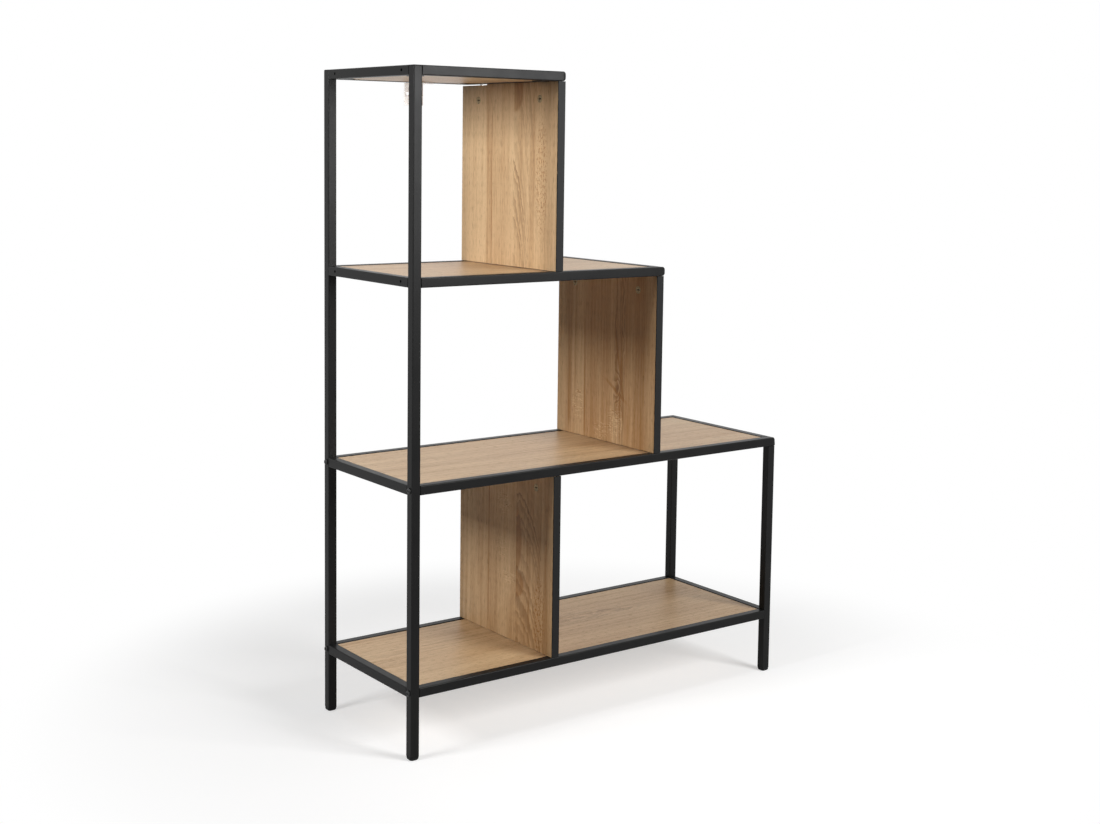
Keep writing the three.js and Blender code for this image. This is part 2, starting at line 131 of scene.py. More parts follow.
def thread(start, end, crest, depth, pitch, sides):
    # a screw thread: the radius falls and rises as a triangle wave of along / pitch less angle / turn
    along = np.linspace(start, end, max(2, int(6 * (end - start) / pitch)))
    angle = np.arange(sides) / sides
    wave = np.abs((along[:, None] / pitch - angle) % 1 - 0.5) * 2
    fade = np.clip(np.minimum(along - start, end - along) / pitch, 0, 1)[:, None]
    return along, crest - depth * (1 - wave * fade)


def arc(fromAngle, toAngle, inner, outer, start, end, steps=48):
    # a sector of a thick ring about Z: a rectangle of radius and height carried round the axis
    angle = np.radians(np.linspace(fromAngle, toAngle, steps))[:, None]
    radius = np.array([inner, inner, outer, outer])
    height = np.array([start, end, end, start])
    points, quads, caps = skin(radius * np.cos(angle), radius * np.sin(angle), np.zeros(steps))
    points[:, 2] = np.tile(height, steps)
    return points, quads, caps


# Pieces

weldReach = 0.001 * mm
smoothing = {"sharp": 34, "bevelFrom": 50, "bevelSteps": 3}


def makeObject(name, surfaces):
    # one mesh of all the surfaces, at the origin and in the scene
    mesh = bpy.data.meshes.new(name)
    points, faces, start = [], [], 0
    for surface, quads, caps in surfaces:
        faces += (quads + start).tolist() + [(cap + start).tolist() for cap in caps]
        points.append(surface)
        start += len(surface)
    mesh.from_pydata(np.concatenate(points).tolist(), [], faces)
    piece = bpy.data.objects.new(name, mesh)
    bpy.context.scene.collection.objects.link(piece)
    return piece


def pointsOf(mesh):
    # one row of three coordinates for each point
    place = np.zeros(len(mesh.vertices) * 3)
    mesh.vertices.foreach_get("co", place)
    return place.reshape(-1, 3)


def setShare(mesh, name, share):
    # keeps one number for each point, for a material to read
    mesh.attributes.new(name, "FLOAT", "POINT").data.foreach_set("value", share)


def reshape(piece, operation, surfaces):
    # cuts the surfaces out of the piece, or joins them on, one after another, and keeps each result; points
    # that a cut leaves closer together than the weld's reach become one
    for surface in surfaces:
        other = makeObject("tool", [surface])
        change = piece.modifiers.new("change", "BOOLEAN")
        change.operation, change.solver, change.object = operation, "EXACT", other
        piece.modifiers.new("weld", "WELD").merge_threshold = weldReach
        graph = bpy.context.evaluated_depsgraph_get()
        piece.data = bpy.data.meshes.new_from_object(piece.evaluated_get(graph))
        piece.modifiers.clear()
        bpy.data.objects.remove(other)


def layPrint(mesh, grain):
    # u runs along the grain and v across it, in metres; each side of the sheet has its own stretch
    corner = np.zeros(len(mesh.loops), int)
    mesh.loops.foreach_get("vertex_index", corner)
    normal = np.zeros(len(mesh.polygons) * 3)
    mesh.polygons.foreach_get("normal", normal)
    size = np.zeros(len(mesh.polygons), int)
    mesh.polygons.foreach_get("loop_total", size)
    place, normal = pointsOf(mesh)[corner], np.repeat(normal.reshape(-1, 3), size, axis=0)
    facing = np.abs(normal).argmax(1)
    longest = np.where(facing == grain, 1, grain)
    across = 3 - facing - longest
    every = np.arange(len(place))
    side = facing + 0.5 * (normal[every, facing] > 0)
    flat = np.stack([place[every, longest], place[every, across] + side], 1)
    mesh.uv_layers.new(name="print").data.foreach_set("uv", flat.ravel())


def finishPiece(piece, finish, replaced=(), body="frame", grain=None, edge=0):
    # the print and material, round edges where asked for, smooth shading, and the piece's body and node
    mesh = piece.data
    if grain is not None:
        layPrint(mesh, grain)
    mesh.materials.clear()
    mesh.materials.append(finish)
    if edge:
        bevel = piece.modifiers.new("edges", "BEVEL")
        bevel.width, bevel.segments = edge, smoothing["bevelSteps"]
        bevel.limit_method, bevel.angle_limit = "ANGLE", radians(smoothing["bevelFrom"])
    mesh.polygons.foreach_set("use_smooth", np.ones(len(mesh.polygons), bool))
    mesh.set_sharp_from_angle(angle=radians(smoothing["sharp"]))
    piece.modifiers.new("flat faces", "WEIGHTED_NORMAL").keep_sharp = True
    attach(piece, body)
    if replaced:
        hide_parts(*replaced)


# Shader nodes

class Socket:
    # a shader socket that takes part in sums; each operator adds one Math node
    def __init__(self, finish, link):
        self.finish, self.link = finish, link

    def __add__(self, other):
        return self.finish.maths("ADD", self, other)

    def __sub__(self, other):
        return self.finish.maths("SUBTRACT", self, other)

    def __rsub__(self, other):
        return self.finish.maths("SUBTRACT", other, self)

    def __mul__(self, other):
        return self.finish.maths("MULTIPLY", self, other)

    __radd__ = __add__
    __rmul__ = __mul__


class Finish:
    # the nodes of one material, or of the world
    def __init__(self, owner):
        owner.use_nodes = True
        self.owner = owner
        self.nodes, self.links = owner.node_tree.nodes, owner.node_tree.links
        self.nodes.clear()

    def add(self, kind, settings=None, sockets=None, output=0):
        node = self.nodes.new("ShaderNode" + kind)
        for key, value in (settings or {}).items():
            setattr(node, key, value)
        for key, value in (sockets or {}).items():
            if isinstance(value, Socket):
                self.links.new(value.link, node.inputs[key])
            else:
                node.inputs[key].default_value = value
        return Socket(self, node.outputs[output]) if node.outputs else node

    def maths(self, operation, first, second=0):
        return self.add("Math", {"operation": operation}, {0: first, 1: second})

    def within(self, value, low, high):
        # rises smoothly from 0 at low to 1 at high
        return self.add("MapRange", {"interpolation_type": "SMOOTHSTEP"},
                        {"Value": value, "From Min": low, "From Max": high})

    def blend(self, share, first, second):
        # the first colour where the share is 0, the second where it is 1
        return self.add("Mix", {"data_type": "RGBA"}, {0: share, 6: first, 7: second}, 2)

    def noise(self, vector, scale, detail=2, roughness=0.5, dimensions="3D"):
        stretched = self.add("VectorMath", {"operation": "MULTIPLY"}, {0: vector, 1: scale})
        return self.add("TexNoise", {"noise_dimensions": dimensions},
                        {"Vector": stretched, "Scale": 1, "Detail": detail, "Roughness": roughness})

    def surface(self, sockets, height=None, depth=0):
        if height is not None:
            sockets["Normal"] = self.add("Bump", {}, {"Height": height, "Distance": depth, "Strength": 1})
        shader = self.add("BsdfPrincipled", {}, sockets)
        self.add("OutputMaterial", {}, {"Surface": shader})
        return self.owner


def grey(level, warmth=0.0):
    return (level * (1 + warmth), level, level * (1 - warmth), 1)


# Powder-coated steel

powderLook = {
    # the fourth colour is the paler one of the rounded corners: partly edge wear and partly painted sheen
    "dark": grey(0.0045), "light": grey(0.0085), "nib": grey(0.09), "wearAndSheen": grey(0.03),
    "peel": 620, "peelDepth": 0.018 * mm, "roughness": 0.36, "specular": 0.11,
}


def powderCoat():
    # orange peel with a few light nibs; the rounded corners a little paler and smoother, partly edge wear and
    # partly painted sheen
    finish = Finish(bpy.data.materials.new("powderCoat"))
    place = finish.add("TexCoord", {}, {}, "Object")
    cloud = finish.noise(place, (22, 22, 22), 3)
    peel = finish.noise(place, (powderLook["peel"],) * 3, 2, 0.6)
    cells = finish.add("VectorMath", {"operation": "MULTIPLY"}, {0: place, 1: (95, 95, 95)})
    speck = 1 - finish.within(finish.add("TexVoronoi", {}, {"Vector": cells, "Scale": 1}), 0.012, 0.03)
    wearAndSheen = finish.add("Attribute", {"attribute_name": "edgeWearAndSheen"}, {}, "Fac")
    colour = finish.blend(cloud, powderLook["dark"], powderLook["light"])
    colour = finish.blend(speck * 0.5, colour, powderLook["nib"])
    # the rounded corners painted paler: partly edge wear and partly painted sheen
    colour = finish.blend(wearAndSheen * 0.35, colour, powderLook["wearAndSheen"])
    rough = powderLook["roughness"] + (cloud - 0.5) * 0.16 + (peel - 0.5) * 0.08 - wearAndSheen * 0.05
    sockets = {"Base Color": colour, "Roughness": rough, "Specular IOR Level": powderLook["specular"]}
    return finish.surface(sockets, peel + speck, powderLook["peelDepth"])


# Black moulded plastic, with the fine texture of a spark-eroded mould

plasticLook = {"dark": grey(0.007), "light": grey(0.012), "grain": 1400, "depth": 0.012 * mm,
               "roughness": 0.46, "specular": 0.12}


def blackPlastic():
    # a fine even grain over a slow change of colour along the flow of the plastic
    finish = Finish(bpy.data.materials.new("blackPlastic"))
    place = finish.add("TexCoord", {}, {}, "Object")
    grain = finish.noise(place, (plasticLook["grain"],) * 3, 2, 0.7)
    flow = finish.noise(place, (90, 90, 260), 2)
    colour = finish.blend(flow, plasticLook["dark"], plasticLook["light"])
    rough = plasticLook["roughness"] + (grain - 0.5) * 0.2
    sockets = {"Base Color": colour, "Roughness": rough, "Specular IOR Level": plasticLook["specular"]}
    return finish.surface(sockets, grain, plasticLook["depth"])


# Metal that shows: zinc plate, cast zinc and black bolt steel

# painted shade: the nearly black colour that a piece's recesses are darkened to
recessShadeColour = grey(0.004)


def metal(name, dark, light, roughness, grain, depth, metallic=1.0, specular=0.5):
    # small crystals between the two colours, and painted shade, nearly black, where a piece's recess share is
    # 1
    finish = Finish(bpy.data.materials.new(name))
    place = finish.add("TexCoord", {}, {}, "Object")
    cells = finish.add("VectorMath", {"operation": "MULTIPLY"}, {0: place, 1: (grain,) * 3})
    spangle = finish.add("TexVoronoi", {"feature": "SMOOTH_F1"}, {"Vector": cells, "Scale": 1})
    cloud = finish.noise(place, (grain * 0.6,) * 3, 3, 0.6)
    shade = finish.within(cloud * 0.6 + spangle * 0.5, 0.2, 0.8)
    # painted shade in the recesses, nearly black where the recess share is 1
    deep = finish.add("Attribute", {"attribute_name": "recess"}, {}, "Fac")
    colour = finish.blend(deep * 0.95, finish.blend(shade, dark, light), recessShadeColour)
    rough = roughness + (cloud - 0.5) * 0.25
    sockets = {"Base Color": colour, "Roughness": rough, "Metallic": metallic, "Specular IOR Level": specular}
    return finish.surface(sockets, cloud + spangle * 0.3, depth)


# Oak print on melamine. The sheet is a cut through a trunk whose pith lies behind it and comes nearer
# slowly along the grain: a growth ring is where the distance from the pith is a whole number of rings.

oakLook = {
    "pale": (0.660, 0.462, 0.264, 1), "warm": (0.339, 0.164, 0.057, 1), "line": (0.185, 0.098, 0.042, 1),
    "pore": (0.150, 0.080, 0.036, 1), "poreDepth": 0.03 * mm, "roughness": 0.40,
    "bandSoft": 0.8 * mm, "staveSoft": 1.2 * mm, "streakFade": 30 * mm, "shadeRange": (-0.15, 1.75),
    # how many times a metre each noise changes, along and across the grain
    "noises": {"wander": (2.2, 6, 1), "sway": (11, 30, 1), "shiver": (60, 150, 1), "broad": (0.7, 26, 1),
               "narrow": (2.6, 120, 1), "fibre": (14, 520, 1), "cloud": (4, 7, 1), "dash": (60, 1100, 1),
               "curl": (210, 40, 1), "fleck": (150, 330, 1)},
}


def oakPrint(name, shift, heart, depth, slope, ring=2.6 * mm, arches=0.5, heartWidth=0.055, tone=0.0,
             gloss=0.3, band=None, curls=(), flecks=(), patches=(), streaks=(), staves=(), knots=()):
    # the marks are placed on the sheet: the first number runs along the grain, the second across it
    finish = Finish(bpy.data.materials.new(name))
    flat = finish.add("UVMap", {"uv_map": "print"})
    place = finish.add("Mapping", {}, {"Vector": flat, "Location": (*shift, 0)})
    along, across = (finish.add("SeparateXYZ", {}, {"Vector": flat}, number) for number in (0, 1))

    def nearness(middle, size, full):
        # 1 inside an oval about the middle, falling to 0 at its rim
        oval = finish.add("Mapping", {"vector_type": "TEXTURE"},
                          {"Vector": flat, "Location": (*middle, 0), "Scale": (*size, 1)})
        far = finish.add("VectorMath", {"operation": "LENGTH"}, {0: oval}, "Value")
        return 1 - finish.within(far, full, 1)

    def grain(kind, detail, roughness=0.5):
        return finish.noise(place, oakLook["noises"][kind], detail, roughness, "2D")

    wander = grain("wander", 2) - 0.5
    sway = grain("sway", 2, 0.55) - 0.5
    shiver = grain("shiver", 2, 0.6) - 0.5
    offset = across - heart + wander * 0.026 + sway * 0.012
    behind = along * slope + depth + wander * 0.010 + sway * 0.006
    radius = finish.maths("SQRT", offset * offset + behind * behind)
    growth = radius * (1 / ring) + shiver * 0.6
    around = None
    for middle, size, strength in knots:
        bump = nearness(middle, size, 0.0)
        growth, around = growth + bump * strength, bump + around if around else bump
    uneven = finish.add("TexNoise", {"noise_dimensions": "1D"}, {"W": growth, "Scale": 0.37, "Detail": 1})
    growth = growth + uneven * 2.2
    phase = finish.maths("FRACT", growth)
    year = finish.add("TexWhiteNoise", {"noise_dimensions": "1D"}, {"W": finish.maths("FLOOR", growth)})
    late = finish.within(phase, 0.10, 0.90) * (1 - finish.within(phase, 0.90, 1.0)) * (0.25 + year * 0.75)
    near = 1 - finish.within(finish.maths("ABSOLUTE", offset), heartWidth * 0.35, heartWidth)
    inBand = 1.0
    if band:
        soft = oakLook["bandSoft"]
        inBand = (finish.within(across, band[0] - soft, band[0] + soft)
                  - finish.within(across, band[1] - soft, band[1] + soft))
    share = near * inBand * 0.85 + 0.15
    late = late * (share + around * 0.7 if around else share) * arches
    broad = grain("broad", 2) - 0.5
    narrow = grain("narrow", 4, 0.66) - 0.5
    fibre = grain("fibre", 3, 0.7) - 0.5
    cloud = grain("cloud", 2) - 0.5
    dash = grain("dash", 1)
    pores = finish.within(dash + narrow * 0.30 + (0.5 - phase) * 0.05, 0.58, 0.74)
    shade = 0.42 + tone + broad * 1.1 + narrow * 1.1 + fibre * 0.9 + cloud * 0.4
    for middle, size, strength in curls:
        wave = grain("curl", 2)
        mark = finish.within(wave, 0.50, 0.60) - finish.within(wave, 0.60, 0.66) * 1.6
        shade = shade - mark * nearness(middle, size, 0.35) * strength
    for middle, size, strength in flecks:
        mark = finish.within(grain("fleck", 2, 0.6), 0.54, 0.62)
        shade = shade + mark * nearness(middle, size, 0.5) * strength
    for middle, size, strength in patches:
        shade = shade + nearness(middle, size, 0.72) * inBand * strength
    for start, end, width, strength in streaks:
        run, fade = (end[1] - start[1]) / (end[0] - start[0]), oakLook["streakFade"]
        aside = finish.maths("ABSOLUTE", across - along * run - (start[1] - start[0] * run) + wander * 0.006)
        past = finish.within(along, end[0] - fade, end[0])
        outside = past + 1 - finish.within(along, start[0], start[0] + fade)
        stroke = (1 - finish.within(aside, width * 0.2, width)) * (1 - outside)
        shade = shade + stroke * (0.75 + narrow * 2) * strength
    for edge, step in staves:
        shade = shade + finish.within(across, edge - oakLook["staveSoft"], edge + oakLook["staveSoft"]) * step
    shade = finish.within(shade + late * 0.4, *oakLook["shadeRange"])
    colour = finish.blend(shade, oakLook["pale"], oakLook["warm"])
    colour = finish.blend(late, colour, oakLook["line"])
    colour = finish.blend(pores * 0.45, colour, oakLook["pore"])
    rough = oakLook["roughness"] + pores * 0.16 + fibre * 0.1
    sockets = {"Base Color": colour, "Roughness": rough, "Specular IOR Level": gloss}
    return finish.surface(sockets, fibre * 0.4 - pores, oakLook["poreDepth"])


steelFinish = powderCoat()
plasticFinish = blackPlastic()
zincFinish = metal("zincPlate", grey(0.80), grey(0.95), 0.30, 420, 0.01 * mm)
camFinish = metal("castZinc", (0.30, 0.23, 0.13, 1), (0.64, 0.50, 0.30, 1), 0.50, 900, 0.03 * mm, 0.2, 0.2)
boltFinish = metal("blackBolt", grey(0.010), grey(0.022), 0.30, 1500, 0.008 * mm, 0.35, 0.5)
print("materials: 5 of metal and plastic")


# Posts and rails of square tube, with the lugs that carry the boards

tube = {"side": 18 * mm, "corner": 2 * mm, "wall": 1.2 * mm, "cornerSteps": 6, "endRound": 0.35 * mm,
        "wearAndSheenShare": 0.707}
lug = {"thick": 1.5 * mm, "reach": 20 * mm, "length": 30 * mm, "lap": 0.8 * mm, "corner": 3 * mm,
       "edge": 0.3 * mm, "top": 17.3 * mm, "inset": 21.7 * mm, "longRails": (2, 2, 1, 0)}
nutPlate = {"thick": 4 * mm, "hole": 3.3 * mm}
hole = {"bolt": 3.3 * mm, "camBolt": 3.3 * mm, "screw": 2.05 * mm, "over": 1 * mm, "sides": 48}


def drill(radius, start, end, axis, place):
    # a round cutter along the axis; place is its middle, and what it says along the axis is not used
    centre = np.array(place, float)
    centre["xyz".index(axis)] = start
    rows = [(0, radius * 0.1), (0, radius), (end - start, radius), (end - start, radius * 0.1)]
    return stand(turned(rings(rows, hole["sides"])), centre, axis)


def tubeSurface(start, length, axis):
    # a square outline and a bore smaller by two walls, carried along the axis from the start
    side, wall = tube["side"], tube["wall"]
    return stand(hollow(length, side, tube["corner"], side - 2 * wall, tube["corner"] - wall,
                        tube["endRound"], tube["cornerSteps"]), start, axis)


def markWearAndSheen(piece, axis, middle):
    # the share of edge wear and painted sheen, 0 on the flats and 1 in the middle of a rounded corner: how
    # far a point lies past the corner circle's middle in both directions, over the given share of that
    # circle's radius
    place = np.delete(pointsOf(piece.data), "xyz".index(axis), axis=1) - middle
    reach = np.abs(place) - (tube["side"] / 2 - tube["corner"])
    setShare(piece.data, "edgeWearAndSheen", np.clip(reach.min(1) / (tube["corner"] * tube["wearAndSheenShare"]), 0, 1))


def addTube(node, axis):
    # a post or rail along the axis, with its lugs and, in the two bolted levels, its nut plate
    low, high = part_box(node)
    half = tube["side"] / 2
    level = int(node[-1]) if node[-1].isdigit() else 0
    middle = (low + high) / 2
    if axis != "z":
        middle.z = high.z - half
    if axis == "x":
        middle.y = low.y + half if node.startswith("front") else high.y - half
    if axis == "y":
        middle.x = low.x + half if node.startswith("left") else high.x - half
    number = "xyz".index(axis)
    start = middle.copy()
    start[number] = low[number]
    piece = makeObject(node + "_tube", [tubeSurface(start, high[number] - low[number], axis)])
    markWearAndSheen(piece, axis, np.delete(np.array(middle), number))
    lugPlaces = []
    inwards = half + (lug["reach"] - lug["lap"]) / 2
    if node.startswith(("rear", "right")):
        inwards = -inwards
    if axis == "x":
        count = lug["longRails"][level - 1]
        lugPlaces = [(low.x + (high.x - low.x) * (index + 0.5) / count, middle.y + inwards)
                     for index in range(count)]
    if axis == "y":
        lugPlaces = [(middle.x + inwards, y) for y in (low.y + lug["inset"], high.y - lug["inset"])]
    across = lug["reach"] + lug["lap"]
    size = (lug["length"], across) if axis == "x" else (across, lug["length"])
    joined = [stand(slab(*size, lug["thick"], lug["corner"], lug["edge"], 3),
                    (x, y, high.z - lug["top"] - lug["thick"])) for x, y in lugPlaces]
    if axis == "x" and level in (1, 2):
        side = tube["side"] - tube["wall"]
        outer = outlines([side] * 2, side, tube["corner"], tube["cornerSteps"])
        angle = np.arctan2(outer[1][0], outer[0][0])
        inner = nutPlate["hole"] * np.cos(angle), nutPlate["hole"] * np.sin(angle)
        x, y = (np.concatenate([edge, [bore, bore]]) for edge, bore in zip(outer, inner))
        thick = nutPlate["thick"]
        joined.append(stand(skin(x, y, [0, thick, thick, 0], "joined"), start, "x"))
    if joined:
        reshape(piece, "UNION", joined)
    return piece


for side in ("front", "rear"):
    for hand in ("left", "right"):
        node = f"{side}_{hand}_post"
        post = addTube(node, "z")
        if hand == "left":
            bolts = [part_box(f"frame_bolt_{level}_{side}") for level in (1, 2)]
            low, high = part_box(node)
            reshape(post, "DIFFERENCE", [
                drill(hole["bolt"], low.x - hole["over"], high.x + hole["over"], "x", (lower + upper) / 2)
                for lower, upper in bolts])
        finishPiece(post, steelFinish, [node])
    for level in (1, 2, 3, 4):
        node = f"{side}_rail_{level}"
        finishPiece(addTube(node, "x"), steelFinish, [node])
print("posts and long rails")

# Screws that hold the boards, deep in the upper left side rails: where they are and how they are made
railScrew = {"levels": (3, 4), "places": (42 * mm, 286 * mm), "drop": 8.5 * mm, "reachHole": 2.7 * mm,
             "shankHole": 2 * mm, "boardHole": 12 * mm, "gap": 0.05 * mm}
woodScrew = {"head": 2.5 * mm, "rise": 2.2 * mm, "shank": 1.6 * mm, "length": 13 * mm, "pitch": 1.3 * mm,
             "cross": 1.5 * mm, "crossShare": 0.3, "crossDepth": 1.2 * mm}


def railScrewPlaces(level):
    # on the outer face of a left side rail
    low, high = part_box(f"left_rail_{level}")
    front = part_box(f"front_rail_{level}")[0].y
    return [np.array([low.x, front + inset, high.z - railScrew["drop"]]) for inset in railScrew["places"]]


def screwSurface(head, rise, shank, length, pitch, cross, crossShare, crossDepth, crossEdge=0.1 * mm,
                 edge=0.05 * mm, plain=0.2 * mm, sides=48):
    # a pan-head screw from its outer face: a cross recess, a quarter ellipse, then a pointed thread
    turn = np.linspace(0, pi / 2, 6)[1:]
    crown = [(rise * 0.8 * (1 - cos(angle)), head * 0.7 + head * 0.3 * sin(angle)) for angle in turn]
    front = [(crossDepth, cross * 0.1), (crossDepth, cross * 0.85, crossShare),
             (crossEdge, cross, crossShare), (0, cross * 1.06, crossShare), (0, head * 0.7)]
    back = [(rise - edge, head), (rise, head - edge), (rise, shank)]
    end = rise + length
    tip = [(end - shank, shank * 0.75), (end, shank * 0.12)]
    spiral = thread(rise + plain, end - shank * 1.2, shank, shank * 0.25, pitch, sides)
    return turned(rings(front + crown + back, sides), spiral, rings(tip, sides))


for level in (1, 2, 3, 4):
    for side in ("left", "right"):
        node = f"{side}_rail_{level}"
        rail = addTube(node, "y")
        low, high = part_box(node)
        if side == "left" and level in railScrew["levels"]:
            far = low.x + tube["side"]
            walls = ((railScrew["reachHole"], low.x, low.x + tube["wall"]),
                     (railScrew["shankHole"], far - tube["wall"], far))
            places = railScrewPlaces(level)
            reshape(rail, "DIFFERENCE", [
                drill(radius, start - hole["over"], end + hole["over"], "x", place)
                for place in places for radius, start, end in walls])
            for place, where in zip(places, ("front", "rear")):
                seat = place + [tube["side"] - tube["wall"] - woodScrew["rise"] - railScrew["gap"], 0, 0]
                turnedScrew = stand(screwSurface(**woodScrew), seat, "x")
                screw = makeObject(f"rail_screw_{level}_{where}", [turnedScrew])
                finishPiece(screw, boltFinish)
        if side == "right" and level in (3, 4):
            bolts = [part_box(f"cam_bolt_{level - 1}_{where}") for where in ("front", "rear")]
            under = high.z - tube["side"]
            top = under + tube["wall"] + hole["over"]
            reshape(rail, "DIFFERENCE", [
                drill(hole["camBolt"], under - hole["over"], top, "z", (lower + upper) / 2)
                for lower, upper in bolts])
        finishPiece(rail, steelFinish, [node])
print("side rails and their screws")


# Boards and panels

board = {"corner": 1.2 * mm, "edge": 0.7 * mm, "boreOver": 0.3 * mm}
# For oakPrint: heart is how far across the sheet the pith lies, depth how far behind it, slope how fast it
# comes nearer, tone darkens, gloss is the melamine's shine, and staves step the tone from an edge on
boardPrints = {
    1: {"shift": (0.3, 0.12), "heart": 2.52, "depth": 0.09, "slope": 0.020, "arches": 0.45, "tone": -0.04},
    2: {"shift": (1.7, 0.45), "heart": 2.38, "depth": 0.12, "slope": 0.014, "arches": 0.25, "tone": 0.02,
        "gloss": 0.50},
    3: {"shift": (3.2, 0.31), "heart": 2.62, "depth": 0.10, "slope": 0.014, "arches": 0.28, "tone": 0.06,
        "gloss": 0.80},
    # board 4 is seen only from below, and its pale tone is a painted sheen: it stands in for the white
    # mirrored on its underside at a grazing angle
    4: {"shift": (4.9, 0.77), "heart": 2.50, "depth": 0.10, "slope": 0.010, "arches": 0.25, "tone": -0.32,
        "gloss": 1.0},
}
panelPrints = {
    # panels 1 and 2 take much darker tones than panel 3: partly their own colour and partly painted shade
    # under the boards above them
    1: {"shift": (6.1, 0.0), "heart": -0.040, "depth": 0.119, "slope": 0.155, "arches": 0.66, "tone": 0.40,
        "gloss": 0.15, "heartWidth": 0.12, "ring": 5.2 * mm, "band": (-0.125, -0.040),
        "curls": [((0.410, 0.004), (0.032, 0.030), 0.8), ((0.318, 0.010), (0.030, 0.026), 0.6),
                  ((0.262, -0.008), (0.018, 0.045), 0.8)],
        "flecks": [((0.205, -0.119), (0.095, 0.022), 1.1)],
        "patches": [((0.345, -0.042), (0.075, 0.018), 0.75), ((0.255, -0.044), (0.030, 0.026), 0.65)],
        "streaks": [((0.140, 0.057), (0.470, 0.057), 0.003, 0.8)],
        "staves": [(-0.040, -0.16), (0.060, -0.14), (0.135, 0.16)]},
    2: {"shift": (8.4, 0.0), "heart": -0.085, "depth": 0.030, "slope": 0.010, "arches": 0.66, "tone": 0.60,
        "gloss": 0.15, "ring": 5.0 * mm, "heartWidth": 0.10, "band": (-0.066, -0.030),
        "curls": [((0.580, 0.090), (0.045, 0.026), 0.9), ((0.556, -0.036), (0.045, 0.032), 1.0),
                  ((0.530, 0.010), (0.030, 0.030), 0.7)],
        "patches": [((0.533, -0.040), (0.045, 0.036), -0.45)],
        "streaks": [((0.500, 0.066), (0.780, 0.068), 0.0035, 0.7),
                    ((0.520, 0.120), (0.760, 0.122), 0.008, 0.4),
                    ((0.500, 0.100), (0.860, 0.100), 0.004, 0.3),
                    ((0.588, -0.090), (0.652, 0.010), 0.010, 0.9),
                    ((0.590, -0.066), (0.760, -0.030), 0.004, 0.7),
                    ((0.600, -0.060), (0.700, -0.054), 0.006, 0.6),
                    ((0.500, -0.052), (0.630, -0.050), 0.005, 0.6)],
        "staves": [(-0.066, -0.10), (0.066, -0.16)], "knots": [((0.628, -0.048), (0.045, 0.024), 4)]},
    3: {"shift": (10.3, 0.0), "heart": -0.014, "depth": 0.055, "slope": 0.070, "arches": 0.66, "tone": 0.00,
        "gloss": 0.2, "ring": 3.6 * mm, "heartWidth": 0.10, "band": (-0.090, -0.020),
        "flecks": [((1.060, -0.113), (0.150, 0.024), 0.9)],
        "patches": [((1.225, -0.024), (0.046, 0.030), 0.8)],
        "streaks": [((0.860, 0.070), (1.242, 0.072), 0.005, 0.5),
                    ((0.860, 0.056), (1.200, 0.055), 0.003, 0.5),
                    ((0.860, 0.045), (1.150, 0.043), 0.004, 0.4)],
        "staves": [(0.036, 0.12), (0.077, -0.30)]},
}

for level, look in boardPrints.items():
    node = f"shelf_board_{level}"
    low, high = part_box(node)
    size = high - low
    place = ((low.x + high.x) / 2, (low.y + high.y) / 2, low.z)
    piece = makeObject(node + "_sheet", [stand(slab(*size, board["corner"], board["edge"]), place)])
    fixings = {2: ["cam_bolt_1_front", "cam_bolt_1_rear"], 4: ["bracket_screw"]}.get(level, [])
    radius = hole["camBolt"] if level == 2 else hole["screw"]
    ends = [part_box(name) for name in fixings]
    cuts = [drill(radius, low.z - hole["over"], upper.z + board["boreOver"], "z", (lower + upper) / 2)
            for lower, upper in ends]
    if level in railScrew["levels"]:
        start, end = low.x - hole["over"], low.x + railScrew["boardHole"]
        cuts += [drill(railScrew["shankHole"], start, end, "x", where) for where in railScrewPlaces(level)]
    if cuts:
        reshape(piece, "DIFFERENCE", cuts)
    finishPiece(piece, oakPrint(f"oakBoard{level}", **look), [node], grain=0)
print("boards")

relief = {"depth": 2.4 * mm, "length": 88 * mm, "corner": 0.01 * mm}
collarSeat = {"radius": 4.9 * mm, "under": 11.5 * mm}
edging = {"round": 1.0 * mm, "steps": 6}


def edgingSurface(low, high):
    # the outline of a strip with two rounded front corners, carried up its height
    turn = np.linspace(0, pi / 2, edging["steps"] + 1)
    inset = edging["round"] * (1 - np.sin(turn))
    deep = edging["round"] * (1 - np.cos(turn))
    x = np.concatenate([[low.x], low.x + inset, high.x - inset[::-1], [high.x]])
    y = np.concatenate([[high.y], low.y + deep[::-1], low.y + deep, [high.y]])
    return skin(np.tile(x, (2, 1)), np.tile(y, (2, 1)), [low.z, high.z])


cam = {
    "gap": 0.3 * mm, "bore": 3.9 * mm, "depth": 12.2 * mm, "front": 3.9 * mm, "cavity": 5 * mm,
    "crossArm": 4.8 * mm, "crossShare": 0.25, "crossDepth": 3.0 * mm, "crossEdge": 0.2 * mm,
    "grooveDepth": 0.8 * mm, "edge": 0.3 * mm, "sides": 128,
    # how far behind the face, and at what share of the radius
    "rim": ((0.05 * mm, 0.90), (0.02 * mm, 0.95), (0.12 * mm, 0.985), (0.35 * mm, 1)),
    # each from and to an angle in degrees, and from and to a depth behind the face
    "window": (60, 300, 5.5 * mm, 10.5 * mm), "mouth": (218.7, 321.3, 3.95 * mm, 13.2 * mm),
}
origin = (0, 0, 0)


def camRows(radius):
    # from the bottom of the cross recess out over the face, a groove and the rim, and along the wall
    arm, share, deep = cam["crossArm"], cam["crossShare"], cam["depth"]
    face = [(cam["crossDepth"], arm * 0.05), (cam["crossDepth"], arm * 0.9, share * 0.9),
            (cam["crossEdge"], arm * 0.99, share), (0, arm * 1.03, share * 1.06), (0, radius * 0.78)]
    groove = [(cam["grooveDepth"], radius * 0.81), (cam["grooveDepth"], radius * 0.87)]
    rim = [(behind, radius * reach) for behind, reach in cam["rim"]]
    wall = [(deep - cam["edge"], radius), (deep, radius - cam["edge"]), (deep, radius * 0.05)]
    return rings(face + groove + rim + wall, cam["sides"])


